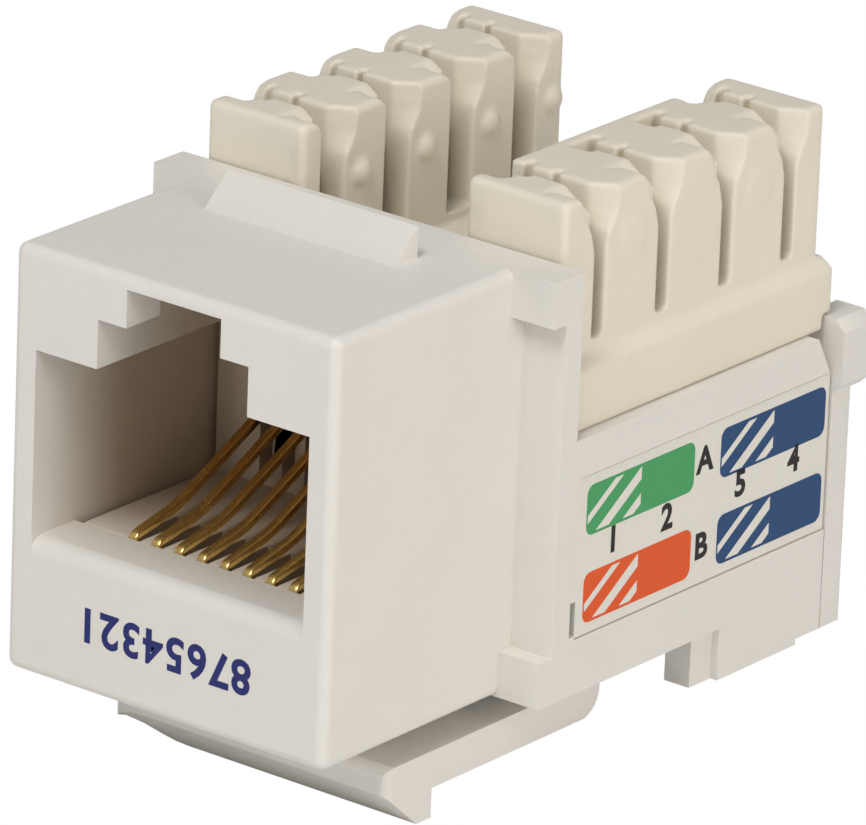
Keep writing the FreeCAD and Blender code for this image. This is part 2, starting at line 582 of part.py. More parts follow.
def make_idc_block():
    """The cream punch-down block: two like rows of towers with four wire slots each."""
    body = new_body("idc_block")
    inside = "(<flange_width> / 2 - <side_wall> - <fit_gap>)"
    leg = f"({inside} - <leg_thick>)"
    skirt = "(<skirt_width> / 2)"
    right_side = [(leg, "<board_top>"), (inside, "<board_top>"), (inside, "<body_height>"),
                  (skirt, "<body_height>"), (skirt, "<skirt_top>"),
                  ("<tower_outer>", "<skirt_top> + <skirt_slope>")]
    left_side = [("-" + across, height) for across, height in reversed(right_side)]
    step(body, pad, "base", "XZ_Plane", f"-{IDC_FRONT}",
         right_side + left_side + [(f"-{leg}", "<block_underside>"), (leg, "<block_underside>")],
         "<idc_length>", reverse=True)
    base_back = f"({IDC_FRONT} + <idc_length>)"
    step(body, pocket, "cover_clearance", "YZ_Plane", "0",
         box_corners(f"{BODY_BACK} - <fit_gap>", f"{base_back} + <overshoot>",
                     "<board_top> - <overshoot>", "<cover_top> + <head_top> + <fit_gap>"),
         "<skirt_width> + <overshoot>", middle=True)
    towers = sketch_on(body, "towers_sketch", "XY_Plane", "<skirt_top>")
    tower_back = f"({IDC_FRONT} + <tower_length>)"
    for sign in ("-", ""):
        outline(towers, box_corners(f"{sign}{TOWER_INNER}", f"{sign}<tower_outer>", IDC_FRONT, tower_back))
    tower = pad(body, "towers", towers, "<tower_top> - <skirt_top>")

    def tower_corner(edge):
        centre = edge.CenterOfMass
        return near(centre.z, size("tower_top")) or (along(edge, Z_AXIS) and centre.z > size("skirt_top"))

    fillet(body, "tower_rounds", tower, "<tower_round>", tower_corner)
    front_edge = f"{SLOT_Y} - <slot_width> / 2"
    rear_edge = f"{SLOT_Y} + <slot_width> / 2"
    cuts = [step(body, pocket, "slot", "YZ_Plane", "0",
                 [(front_edge, "<slot_floor>"), (rear_edge, "<slot_floor>"),
                  (rear_edge, "<tower_top> + <overshoot>")] +
                 cut_corner(HEEL, "-", "<heel_length>")[::-1],
                 "<tower_outer> * 2 + <overshoot>", middle=True)]
    for side, sign in (("left", "-"), ("right", "")):
        for end, mark, shares, length in (("left", "-", CURVE, "<corner_curve>"),
                                          ("right", "+", BEVEL, "<corner_bevel>")):
            sections = []
            for depth, reach in (("rim", "0"), ("throat", "<corner_reach>")):
                sketch = sketch_on(body, f"{side}_row_{end}_{depth}", "YZ_Plane",
                                   f"{sign}{ROW_CENTRE} {mark} (<tower_width> / 2 - {reach})")
                outline(sketch, [(SLOT_Y, "<tower_top> - <corner_depth>")] +
                        cut_corner(shares, "+", length if depth == "rim" else "0") +
                        [(SLOT_Y, "<tower_top> + <overshoot>")])
                sections.append(sketch)
            corner = body.newObject("PartDesign::SubtractiveLoft", f"{side}_row_{end}_corner")
            corner.Profile = sections[0]
            corner.Sections = sections[1:]
            corner.Ruled = True
            cuts.append(corner)
        # At the inner face a slot is wider, and the post in front of it has a rounded shoulder.
        far_edge = f"{front_edge} - <relief_length>"
        shoulder = [(f"{far_edge} - <relief_round> * {1 - math.cos(math.radians(angle)):.4f}",
                     f"<tower_top> - <relief_round> * {1 - math.sin(math.radians(angle)):.4f}")
                    for angle in (0, 18, 36, 54, 72, 90)]
        cuts.append(step(body, pocket, f"relief_{side}", "YZ_Plane", f"{sign}{TOWER_INNER}",
                         [(front_edge, "<slot_floor>"), (far_edge, "<slot_floor>")] + shoulder +
                         [(shoulder[-1][0], "<tower_top> + <overshoot>"),
                          (front_edge, "<tower_top> + <overshoot>")],
                         "<relief_reach>", reverse=sign == ""))
    wells = sketch_on(body, "wells_sketch", "XY_Plane", "<tower_top>")
    for sign in ("-", ""):
        middle = f"{sign}{ROW_CENTRE}"
        front, back = f"{SLOT_Y} - <well_front>", f"{SLOT_Y} + <well_back>"
        left, right = f"{middle} - <well_left>", f"{middle} + <well_right>"
        inner = f"{middle} - <well_step>"
        outline(wells, [(left, front), (right, front), (right, back), (inner, back),
                        (inner, SLOT_Y), (left, SLOT_Y)])
        outline(wells, box_corners(f"{middle} - <groove_lead>",
                                   f"{middle} - <groove_lead> + <groove_width>", SLOT_Y, back))
    cuts.append(pocket(body, "wells", wells, "<tower_top> - <block_underside> + <fit_gap>"))
    pattern(body, "slots", cuts, SLOT_COUNT, "<slot_pitch>")
    # Each post carries a wire-retaining nub, which is the cap of a ball, on its inner face.
    nubs = []
    for side, sign, sink in (("left", "-", "-"), ("right", "", "+")):
        nub = body.newObject("PartDesign::AdditiveSphere", f"nub_{side}")
        nub.setExpression("Radius", cells("<nub_ball>"))
        plane = [item for item in body.Origin.OriginFeatures if item.Role == "XY_Plane"][0]
        nub.AttachmentSupport = [(plane, "")]
        nub.MapMode = "FlatFace"
        for axis, text in (("x", f"{sign}{TOWER_INNER} {sink} <nub_sunk>"),
                           ("y", f"{SLOT_Y} + <nub_offset>"), ("z", "<nub_height>")):
            nub.setExpression(f"AttachmentOffset.Base.{axis}", cells(text))
        nubs.append(nub)
    pattern(body, "nubs", nubs, SLOT_COUNT, "<slot_pitch>")
    # Ejector marks on the outer faces of the second and fourth posts.
    for side, sign in (("left", "-"), ("right", "")):
        marks = sketch_on(body, f"marks_{side}_sketch", "YZ_Plane", f"{sign}<tower_outer>")
        for place in (1, 3):
            circle(marks, f"{SLOT_Y} + {place - 0.5} * <slot_pitch>", "<dot_height>", "<dot_radius>")
        pad(body, f"marks_{side}", marks, "<dot_proud>", reverse=sign == "-")
    return body


def make_blade(number):
    """A forked blade: two tines over a board pin, standing diagonally in its well."""
    body = new_body(f"idc_blade_{number}")
    sign = "-" if number > SLOT_COUNT else ""
    place = (number - 1) % SLOT_COUNT
    half = "<blade_width> / 2"
    slit = "<fork_width> / 2"
    pin = "<blade_pin> / 2"
    low = "<board_top> - <board_thick> - <pin_reach>"
    shoulder = "<block_underside>"
    lead = "<blade_top> - <fork_lead_depth>"
    fork = sketch_on(body, "fork_sketch", "XZ_Plane", f"-({SLOT_Y} + {place} * <slot_pitch>)")
    fork.AttachmentOffset = FreeCAD.Placement(FreeCAD.Vector(), FreeCAD.Rotation(Y_AXIS, 45))
    fork.setExpression("AttachmentOffset.Base.x", cells(f"{sign}{ROW_CENTRE}"))
    outline(fork,
         [(f"-{pin}", low), (pin, low), (pin, shoulder), (half, shoulder), (half, "<blade_top>"),
          (f"{slit} + <fork_lead>", "<blade_top>"), (slit, lead),
          (slit, "<blade_top> - <fork_depth>"), (f"-{slit}", "<blade_top> - <fork_depth>"),
          (f"-{slit}", lead), (f"-{slit} - <fork_lead>", "<blade_top>"),
          (f"-{half}", "<blade_top>"), (f"-{half}", shoulder), (f"-{pin}", shoulder)])
    pad(body, "fork", fork, "<blade_thick>", middle=True)
    return body


# ---------------------------------------------------------------- board, rear cover and labels
def make_circuit_board():
    """The board that joins the contacts to the blades."""
    body = new_body("circuit_board")
    half = f"({INNER_WALL} - 2 * <fit_gap>)"
    step(body, pad, "board", "XY_Plane", "<board_top>",
         box_corners(f"-{half}", half, BOARD_FRONT, f"{BOARD_FRONT} + <board_length>"),
         "<board_thick>", reverse=True)
    holes = sketch_on(body, "holes_sketch", "XY_Plane", "<board_top>")
    for number in range(1, 9):
        circle(holes, contact_across(number), pin_along(number), "<wire_width> / 2 + <fit_gap>")
    for sign in ("-", ""):
        for place in range(SLOT_COUNT):
            circle(holes, f"{sign}{ROW_CENTRE}", f"{SLOT_Y} + {place} * <slot_pitch>",
                   "<blade_pin> / 2 + <fit_gap>")
    pocket(body, "holes", holes, "<board_thick>")
    return body


def make_rear_cover():
    """The white cap behind and below: rear wall with post heads, bottom plate and rails."""
    body = new_body("rear_cover")
    wall_front = f"({BODY_BACK} + <fit_gap> / 2)"
    plate_front = f"({FLANGE_BACK} + <floor_length> + <fit_gap>)"
    inside = f"({INNER_WALL} - <fit_gap>)"
    wall = step(body, pad, "rear_wall", "XZ_Plane", f"-{wall_front}",
                box_corners(f"-{HALF_FLANGE}", HALF_FLANGE, "-<cover_drop>", "<cover_top>"),
                "<cover_thick>", reverse=True)
    fillet(body, "rear_corners", wall, "<cover_round>",
           lambda edge: along(edge, Z_AXIS) and edge.CenterOfMass.y > size("cover_thick") +
           size("block_depth") + size("flange_thick") + size("body_length"))
    step(body, pad, "plate", "XY_Plane", "0",
         box_corners(f"-{inside}", inside, plate_front, f"{wall_front} + <fit_gap>"),
         "<plate_thick>")
    for side, sign in (("left", "-"), ("right", "")):
        step(body, pad, f"rail_{side}", "XY_Plane", "<plate_thick> - <fit_gap>",
             box_corners(f"{sign}({inside} - <rail_width>)", f"{sign}{inside}",
                         plate_front, f"{wall_front} + <fit_gap>"),
             "<rail_height> + <fit_gap>")
        inner = f"{sign}({HALF_FLANGE} - <head_width>)"
        outer = f"{sign}({HALF_FLANGE} + <head_proud>)"
        step(body, pad, f"head_{side}", "XZ_Plane", f"-{wall_front}",
             [(inner, "<cover_top> + <head_top> - <head_height> - <head_proud>"),
              (f"{sign}{HALF_FLANGE}", "<cover_top> + <head_top> - <head_height> - <head_proud>"),
              (outer, "<cover_top> + <head_top> - <head_height>"), (outer, "<cover_top>"),
              (f"{sign}{HALF_FLANGE}", "<cover_top> + <head_top>"), (inner, "<cover_top> + <head_top>")],
             "<cover_thick> + <head_proud>", reverse=True)
    return body


def make_label(side, sign):
    """A wiring label, as a thin sticker in its recess."""
    body = new_body(f"label_{side}")
    front = f"({FLANGE_BACK} + <vent_length>)"
    step(body, pad, "sticker", "YZ_Plane", f"{sign}({HALF_FLANGE} - <fit_gap> / 2)",
         box_corners(front, f"{front} + <label_length>", "<label_bottom>",
                     "<label_bottom> + <label_height>"),
         "<label_thick>", reverse=sign == "")
    return body


pieces = [make_front_housing(), make_latch_arm(), make_contact_insert()]
for number in range(1, 9):
    pieces.append(make_contact(number))
    pieces.append(make_contact_tail(number))
pieces.append(make_idc_block())
for number in range(1, 2 * SLOT_COUNT + 1):
    pieces.append(make_blade(number))
pieces.append(make_circuit_board())
pieces.append(make_rear_cover())
pieces.append(make_label("left", "-"))
pieces.append(make_label("right", ""))

doc.recompute()
for item in doc.Objects:
    if "Invalid" in item.State or "Error" in item.State:
        raise RuntimeError(f"{item.Label} did not compute: {item.State}")
for piece in pieces:
    shape = piece.Shape
    if shape.isNull() or not shape.isValid() or not shape.Solids:
        raise RuntimeError(f"{piece.Label} has no valid solid")

os.makedirs("parts", exist_ok=True)
for piece in pieces:
    piece.Shape.exportStep(f"parts/{piece.Label}.step")
    box = piece.Shape.BoundBox
    print(f"{piece.Label}: solids {len(piece.Shape.Solids)}, volume {piece.Shape.Volume:.2f}, "
          f"x {box.XMin:.2f}..{box.XMax:.2f}, y {box.YMin:.2f}..{box.YMax:.2f}, "
          f"z {box.ZMin:.2f}..{box.ZMax:.2f}")
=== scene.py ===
"""Looks of a keystone jack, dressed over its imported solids."""
import json
import math

import bpy
from mathutils import Matrix, Vector
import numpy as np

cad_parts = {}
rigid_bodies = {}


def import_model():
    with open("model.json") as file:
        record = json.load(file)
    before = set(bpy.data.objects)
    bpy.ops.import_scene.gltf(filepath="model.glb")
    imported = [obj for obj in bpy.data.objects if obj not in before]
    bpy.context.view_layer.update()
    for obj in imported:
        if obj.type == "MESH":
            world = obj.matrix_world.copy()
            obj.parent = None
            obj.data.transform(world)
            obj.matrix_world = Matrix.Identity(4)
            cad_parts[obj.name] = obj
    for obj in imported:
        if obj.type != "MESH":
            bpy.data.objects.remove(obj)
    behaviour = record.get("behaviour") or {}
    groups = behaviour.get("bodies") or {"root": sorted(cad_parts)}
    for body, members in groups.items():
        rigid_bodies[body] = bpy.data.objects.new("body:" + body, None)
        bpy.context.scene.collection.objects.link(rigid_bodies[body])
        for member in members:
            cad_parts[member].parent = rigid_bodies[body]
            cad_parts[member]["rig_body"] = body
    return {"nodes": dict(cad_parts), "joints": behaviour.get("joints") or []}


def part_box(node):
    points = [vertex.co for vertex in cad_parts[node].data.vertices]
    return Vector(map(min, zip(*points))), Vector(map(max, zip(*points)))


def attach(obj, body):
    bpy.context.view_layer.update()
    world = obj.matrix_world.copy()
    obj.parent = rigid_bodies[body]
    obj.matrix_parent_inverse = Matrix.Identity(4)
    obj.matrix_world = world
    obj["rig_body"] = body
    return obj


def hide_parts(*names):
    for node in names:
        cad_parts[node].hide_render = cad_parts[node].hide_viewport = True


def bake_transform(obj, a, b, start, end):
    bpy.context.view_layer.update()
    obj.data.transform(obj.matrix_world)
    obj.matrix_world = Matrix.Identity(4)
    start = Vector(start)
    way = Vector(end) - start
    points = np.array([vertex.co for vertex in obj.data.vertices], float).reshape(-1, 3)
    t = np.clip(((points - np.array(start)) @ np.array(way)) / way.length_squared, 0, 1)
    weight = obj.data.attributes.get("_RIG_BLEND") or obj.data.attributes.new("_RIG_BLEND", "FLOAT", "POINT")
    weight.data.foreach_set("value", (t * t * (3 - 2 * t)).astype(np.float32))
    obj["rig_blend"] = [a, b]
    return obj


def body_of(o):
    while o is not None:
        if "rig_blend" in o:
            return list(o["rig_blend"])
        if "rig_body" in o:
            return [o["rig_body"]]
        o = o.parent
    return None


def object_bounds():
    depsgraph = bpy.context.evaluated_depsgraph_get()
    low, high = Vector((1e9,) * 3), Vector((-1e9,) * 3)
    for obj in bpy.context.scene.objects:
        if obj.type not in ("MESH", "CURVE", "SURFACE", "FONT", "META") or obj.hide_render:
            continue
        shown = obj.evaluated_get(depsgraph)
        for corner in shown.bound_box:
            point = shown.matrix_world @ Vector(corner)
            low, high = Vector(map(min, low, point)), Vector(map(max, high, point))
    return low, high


MM = 0.001

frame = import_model()
cad_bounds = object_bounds()
nodes = frame["nodes"]
bpy.ops.object.select_all(action="DESELECT")


# ---------------------------------------------------------------- shader maths
class Value:
    """A socket that adds its own Math nodes when it is used in an expression."""

    def __init__(self, tree, socket):
        self.tree = tree
        self.socket = socket

    def _math(self, operation, *inputs):
        return self.tree.add("ShaderNodeMath", {"operation": operation}, *inputs)

    def __add__(self, other):
        return self._math("ADD", self, other)

    def __radd__(self, other):
        return self._math("ADD", other, self)

    def __sub__(self, other):
        return self._math("SUBTRACT", self, other)

    def __rsub__(self, other):
        return self._math("SUBTRACT", other, self)

    def __mul__(self, other):
        return self._math("MULTIPLY", self, other)

    def __rmul__(self, other):
        return self._math("MULTIPLY", other, self)

    def __abs__(self):
        return self._math("ABSOLUTE", self)

    def above(self, edge):
        return self._math("GREATER_THAN", self, edge)

    def below(self, edge):
        return self._math("LESS_THAN", self, edge)

    def either(self, other):
        return self._math("MAXIMUM", self, other)

    def both(self, other):
        return self._math("MINIMUM", self, other)

    def fraction(self):
        return self._math("FRACT", self)


class Finish:
    """A material under construction."""

    def __init__(self, name, base, roughness, **settings):
        self.material = bpy.data.materials.new(name)
        self.material.use_nodes = True
        self.nodes = self.material.node_tree.nodes
        self.links = self.material.node_tree.links
        self.shader = self.nodes["Principled BSDF"]
        self.shader.inputs["Base Color"].default_value = (*base, 1.0)
        self.shader.inputs["Roughness"].default_value = roughness
        for socket, value in settings.items():
            self.shader.inputs[socket.replace("_", " ")].default_value = value
        self.coordinates = self.nodes.new("ShaderNodeTexCoord").outputs["Object"]

    def add(self, kind, settings, *inputs, **named):
        """Add a node, set it up, fill its inputs, and return its first enabled output."""
        node = self.nodes.new(kind)
        for key, value in settings.items():
            setattr(node, key, value)
        for place, value in list(enumerate(inputs)) + list(named.items()):
            socket = node.inputs[place.replace("_", " ") if isinstance(place, str) else place]
            self.fill(socket, value)
        output = [socket for socket in node.outputs if socket.enabled][0]
        return Value(self, output)

    def fill(self, socket, value):
        """Link a socket to an earlier result, or set it to a plain value."""
        if isinstance(value, Value):
            self.links.new(value.socket, socket)
        elif isinstance(value, bpy.types.NodeSocket):
            self.links.new(value, socket)
        else:
            socket.default_value = value

    def axis(self, letter):
        """The place along X, Y or Z, in metres."""
        node = self.nodes.new("ShaderNodeSeparateXYZ")
        self.links.new(self.coordinates, node.inputs[0])
        return Value(self, node.outputs[letter])

    def noise(self, scale, detail=2.0, roughness=0.5):
        """Noise with about this many lumps in a metre."""
        return self.add("ShaderNodeTexNoise", {}, Vector=self.coordinates, Scale=scale,
                        Detail=detail, Roughness=roughness)

    def mix(self, factor, first, second):
        """Mix two colours, each given as a tuple or as an earlier result."""
        node = self.nodes.new("ShaderNodeMix")
        node.data_type = "RGBA"
        colours = [socket for socket in node.inputs if socket.type == "RGBA"]
        self.fill(node.inputs["Factor"], factor)
        self.fill(colours[0], first if isinstance(first, Value) else (*first, 1.0))
        self.fill(colours[1], second if isinstance(second, Value) else (*second, 1.0))
        return Value(self, [socket for socket in node.outputs if socket.type == "RGBA"][0])

    def bump(self, height, distance, strength):
        """Dents and grains, as deep as the distance in metres."""
        node = self.nodes.new("ShaderNodeBump")
        node.inputs["Strength"].default_value = strength
        node.inputs["Distance"].default_value = distance
        self.fill(node.inputs["Height"], height)
        self.links.new(node.outputs["Normal"], self.shader.inputs["Normal"])

    def base(self, colour):
        self.fill(self.shader.inputs["Base Color"], colour)

    def rough(self, value):
        self.fill(self.shader.inputs["Roughness"], value)


def linear(red, green, blue):
    """A colour given as 0 to 255 on screen, as the linear values that shaders take."""
    def one(level):
        level /= 255
        return level / 12.92 if level <= 0.04045 else ((level + 0.055) / 1.055) ** 2.4
    return (one(red), one(green), one(blue))


# ---------------------------------------------------------------- finishes
# The plug opening, in millimetres: half its width, and its floor and ceiling over the insert's
# underside. Painted shade darkens and warms its colour from a mouth's depth behind the front, and
# takes the fade's length to turn it into the deep, shaded one, which is the outer one times the tint.
PORT_HALF = 6.3
PORT_FLOOR = 0.2
PORT_CEILING = 10.8
PLASTIC_MOUTH = 0.8
CONTACT_MOUTH = 3.2
PORT_FADE = 4.0
PORT_SHADE_TINT = (0.68, 0.58, 0.48)


def inside_port(finish, mouth):
    """1 deep inside the plug opening, where painted shade makes it warmer and darker, and 0 outside it."""
    low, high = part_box("contact_insert")
    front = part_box("front_housing")[0].y
    depth = (finish.axis("Y") - (front + mouth * MM)) * (1 / (PORT_FADE * MM))
    depth = depth.either(0.0).both(1.0)
    beside = abs(finish.axis("X")).below(PORT_HALF * MM)
    above = finish.axis("Z").above(low.z + PORT_FLOOR * MM)
    below = finish.axis("Z").below(low.z + PORT_CEILING * MM)
    ahead = finish.axis("Y").below(high.y)
    return depth * beside * above * below * ahead


def moulded_plastic(name, colour, roughness=0.42, grain=4000.0):
    """Injection-moulded plastic: nearly even colour, with a faint mottle and a fine skin."""
    finish = Finish(name, colour, roughness)
    finish.shader.inputs["Specular IOR Level"].default_value = 0.4
    cloud = finish.noise(260.0, 3.0)
    speck = finish.noise(3200.0, 2.0)
    shade = cloud * 0.7 + speck * 0.3
    dull, bright = tuple(c * 0.95 for c in colour), tuple(min(c * 1.04, 1) for c in colour)
    skin = finish.mix(shade, dull, bright)
    # Painted shade: the white plastic turns darker and warmer deep inside the plug opening.
    if name == "white_plastic":
        painted_shade = tuple(c * tint for c, tint in zip(colour, PORT_SHADE_TINT))
        skin = finish.mix(inside_port(finish, PLASTIC_MOUTH), skin, painted_shade)
    finish.base(skin)
    finish.rough(finish.noise(900.0, 3.0) * 0.12 + (roughness - 0.06))
    finish.bump(finish.noise(grain, 4.0, 0.6), 0.00002, 0.5)
    return finish.material


def contact_gold(name):
    """Thin gold plating over bronze: fine drawing marks, redder where worn, and redder, darker painted shade
    deeper in.
    """
    finish = Finish(name, linear(214, 164, 78), 0.25)
    finish.shader.inputs["Metallic"].default_value = 1.0
    drawn = finish.noise(1800.0, 3.0, 0.7)
    worn = finish.noise(420.0, 2.0)
    plated = finish.mix(worn, linear(236, 196, 108), linear(250, 222, 150))
    # Painted shade: the gold turns darker and redder deep inside the plug opening.
    finish.base(finish.mix(inside_port(finish, CONTACT_MOUTH), plated, linear(232, 182, 104)))
    finish.rough(drawn * 0.22 + 0.14)
    finish.bump(drawn, 0.000006, 0.4)
    return finish.material


def blade_tin(name):
    """Tin plating: dull, with cloudy grains."""
    finish = Finish(name, linear(196, 196, 192), 0.35)
    finish.shader.inputs["Metallic"].default_value = 1.0
    grain = finish.noise(1400.0, 4.0, 0.65)
    finish.base(finish.mix(grain, linear(176, 177, 174), linear(214, 214, 208)))
    finish.rough(grain * 0.3 + 0.22)
    return finish.material


def board_green(name):
    """Solder mask over woven glass."""
    threads_per_metre = 2200.0
    finish = Finish(name, linear(30, 92, 56), 0.4)
    warp = (finish.axis("X") * threads_per_metre).fraction()
    weft = (finish.axis("Y") * threads_per_metre).fraction()
    weave = abs(warp - 0.5) + abs(weft - 0.5)
    finish.base(finish.mix(weave, linear(24, 78, 48), linear(40, 108, 66)))
    finish.bump(weave, 0.00001, 0.3)
    return finish.material


def label_paper(name):
    """White label film, with a slight fibre."""
    finish = Finish(name, linear(228, 225, 217), 0.5)
    fibre = finish.noise(2400.0, 5.0, 0.7)
    finish.base(finish.mix(fibre, linear(222, 219, 210), linear(233, 230, 223)))
    finish.rough(fibre * 0.2 + 0.4)
    return finish.material


def print_ink(name, colour):
    """Printed ink: nearly even, a little uneven where it lies thin."""
    finish = Finish(name, colour, 0.45)
    finish.shader.inputs["Specular IOR Level"].default_value = 0.2
    thin = finish.noise(2600.0, 4.0, 0.65)
    thick, faded = tuple(c * 0.9 for c in colour), tuple(c * 0.96 + 0.02 for c in colour)
    finish.base(finish.mix(thin, thick, faded))
    finish.rough(thin * 0.2 + 0.35)
    return finish.material


FINISHES = {
    "white_plastic": moulded_plastic("white_plastic", linear(228, 225, 219)),
    "cream_plastic": moulded_plastic("cream_plastic", linear(231, 224, 208)),
    "contact_gold": contact_gold("contact_gold"),
    "blade_tin": blade_tin("blade_tin"),
    "board_green": board_green("board_green"),
    "label_paper": label_paper("label_paper"),
    "ink_green": print_ink("ink_green", linear(70, 164, 100)),
    "ink_orange": print_ink("ink_orange", linear(232, 88, 24)),
    "ink_blue": print_ink("ink_blue", linear(28, 72, 122)),
    "ink_black": print_ink("ink_black", linear(30, 27, 26)),
    "ink_pins": print_ink("ink_pins", linear(30, 38, 112)),
}


def finish_of(name):
    """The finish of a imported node."""
    if name == "idc_block":
        return "cream_plastic"
    if name == "circuit_board":
        return "board_green"
    if name.startswith("label_"):
        return "label_paper"
    if name.startswith("idc_blade"):
        return "blade_tin"
    if name.startswith("contact_") and name != "contact_insert":
        return "contact_gold"
    return "white_plastic"


# ---------------------------------------------------------------- modelling
def choose(piece):
    """Make one object the only selected one, and the active one."""
    bpy.ops.object.select_all(action="DESELECT")
    bpy.context.view_layer.objects.active = piece
    piece.select_set(True)


def apply_modifier(piece, kind, **settings):
    """Add one modifier and apply it."""
    choose(piece)
    modifier = piece.modifiers.new(kind.lower(), kind)
    for key, value in settings.items():
        setattr(modifier, key, value)
    bpy.ops.object.modifier_apply(modifier=modifier.name)


def smooth(piece, angle):
    """Smooth shading, with edges sharper than the angle kept."""
    choose(piece)
    bpy.ops.object.shade_smooth_by_angle(angle=math.radians(angle))


def settle(piece, name, finish, body, place=None):
    """Name a piece, put it in its place, and give it a finish and a body."""
    piece.name = name
    piece.data.name = name
    if place is not None:
        piece.data.transform(place @ piece.matrix_basis)
        piece.matrix_basis = Matrix()
    piece.data.materials.clear()
    piece.data.materials.append(FINISHES[finish])
    if body:
        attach(piece, body)


def join(pieces):
    """Join pieces into the first of them."""
    choose(pieces[0])
    for piece in pieces[1:]:
        piece.select_set(True)
    if pieces[1:]:
        bpy.ops.object.join()
    return pieces[0]


# Vertices nearer than this, in millimetres, are one, and faces within this angle are one flat face.
MERGE_DISTANCE = 0.001
FLAT_ANGLE = 0.8


def copy_of(name, flat=True):
    """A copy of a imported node's mesh as one closed surface, with its flat faces made whole."""
    piece = bpy.data.objects.new(name + "_skin", nodes[name].data.copy())
    bpy.context.collection.objects.link(piece)
    choose(piece)
    bpy.ops.object.mode_set(mode="EDIT")
    bpy.ops.mesh.select_all(action="SELECT")
    bpy.ops.mesh.remove_doubles(threshold=MERGE_DISTANCE * MM)
    if flat:
        bpy.ops.mesh.dissolve_limited(angle_limit=math.radians(FLAT_ANGLE))
    bpy.ops.object.mode_set(mode="OBJECT")
    return piece


def finish_skin(piece, name):
    """Put a reshaped copy in the place of its node."""
    settle(piece, name + "_skin", finish_of(name), body_of(nodes[name])[0])
    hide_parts(name)


# The curved left end of the latch's tooth, in millimetres: its length, its rise, the place along Y
# behind which nothing is lifted, and the number of its steps.
TOOTH_CURVE = 3.4
TOOTH_LIFT = 1.08
TOOTH_BACK = -6.0
TOOTH_STEPS = 6


def curve_tooth(piece):
    """Lift the left end of the latch's tooth in a curve."""
    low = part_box("latch_arm")[0]
    start = low.x + TOOTH_CURVE * MM
    choose(piece)
    bpy.ops.object.mode_set(mode="EDIT")
    for step in range(TOOTH_STEPS):
        bpy.ops.mesh.select_all(action="SELECT")
        bpy.ops.mesh.bisect(plane_co=(start - step * TOOTH_CURVE / TOOTH_STEPS * MM, 0, 0),
                            plane_no=(1, 0, 0))
    bpy.ops.object.mode_set(mode="OBJECT")
    top = low.z + TOOTH_LIFT * MM
    for vertex in piece.data.vertices:
        place = vertex.co
        if place.x < start and place.z < top and place.y < TOOTH_BACK * MM:
            share = (start - place.x) / (TOOTH_CURVE * MM)
            place.z = max(place.z, low.z + TOOTH_LIFT * MM * share ** 2)


# Edges sharper than the first angle, in degrees, are rounded. In the shading they stay sharp, and
# on a melted piece those sharper than the second one do.
SHARP_ANGLE = 32.0
MELTED_ANGLE = 60.0


def round_edges(name, width):
    """Moulded edges on a copy of a node, which takes the node's place."""
    piece = copy_of(name)
    if name == "latch_arm":
        curve_tooth(piece)
    apply_modifier(piece, "BEVEL", width=width * MM, segments=2, limit_method="ANGLE",
                   angle_limit=math.radians(SHARP_ANGLE), use_clamp_overlap=True,
                   miter_outer="MITER_ARC")
    smooth(piece, SHARP_ANGLE)
    apply_modifier(piece, "WEIGHTED_NORMAL", mode="FACE_AREA", weight=100, keep_sharp=True)
    finish_skin(piece, name)


def solid_box(low, high, drop=0.0):
    """A box between two corners, in millimetres; its top can drop towards +X."""
    bpy.ops.mesh.primitive_cube_add(size=1, location=(0, 0, 0))
    piece = bpy.context.object
    low, high = Vector(low), Vector(high)
    piece.data.transform(Matrix.Translation((low + high) / 2) @ Matrix.Diagonal((*(high - low), 1)))
    for vertex in piece.data.vertices:
        if vertex.co.x > low.x and vertex.co.z > low.z:
            vertex.co.z -= drop
    return piece


def melt_edges(name, grid, passes, share, added, cuts):
    """Moulded edges for a node with many small cuts, which takes its node's place. Boxes given by
    their corners are first cut from it and added to it, and then all edges melt together."""
    piece = copy_of(name, flat=False)
    piece.data.transform(Matrix.Scale(1 / MM, 4))
    tool = join([solid_box(*corners) for corners in cuts])
    apply_modifier(piece, "BOOLEAN", operation="DIFFERENCE", object=tool, solver="EXACT")
    bpy.data.objects.remove(tool)
    piece = join([piece] + [solid_box(*corners) for corners in added])
    apply_modifier(piece, "REMESH", mode="VOXEL", voxel_size=grid)
    apply_modifier(piece, "SMOOTH", factor=0.5, iterations=passes)
    apply_modifier(piece, "DECIMATE", decimate_type="COLLAPSE", ratio=share)
    piece.data.transform(Matrix.Scale(MM, 4))
    smooth(piece, MELTED_ANGLE)
    finish_skin(piece, name)


# ---------------------------------------------------------------- moulded pieces
# Widths of the rounded edges, in millimetres. The punch-down block is melted on a grid of this
# pitch, in this many passes, and keeps this share of its triangles.
EDGE_WIDTHS = {"front_housing": 0.12, "latch_arm": 0.14, "rear_cover": 0.15, "contact_insert": 0.06}
CONTACT_EDGE = 0.07
MELT_GRID = 0.09
MELT_PASSES = 5
MELT_SHARE = 0.32

# The punch-down block's tower tops, in millimetres. Places across a row count from its middle, and
# places along it from the middle of a slot. The ramp is the sloping edge of a slot's cap. In the
# right row, the closed slots' inner ends lie behind the inner wall, which ends above their floor.
ROW_MIDDLE = 5.775
ROW_HALF = 2.175
SLOT_HALF = 0.31
WELL_AHEAD = 1.75
WELL_BEHIND = 0.8
WELL_HALF = 1.1
CAP_DEPTH = 2.6
LEFT_SLIT = (-1.62, -1.27)
RIGHT_SLIT = (-0.42, -0.08)
SLIT_DEPTH = 0.5
NOTCH = (-1.6, -0.7)
NOTCH_DEPTH = 0.35
RAMP_START = 0.7
RAMP_SLOPE = 0.67
RAMP_END_RIGHT_ROW = 1.9
RAMP_END_LEFT_ROW = 1.25
CLOSED_SLOTS = (2, 3)
INNER_WALL = 0.55
INNER_WALL_DEPTH = 5
INNER_WALL_START = 0.4
INNER_WALL_END = 1.3
OVERLAP = 0.1


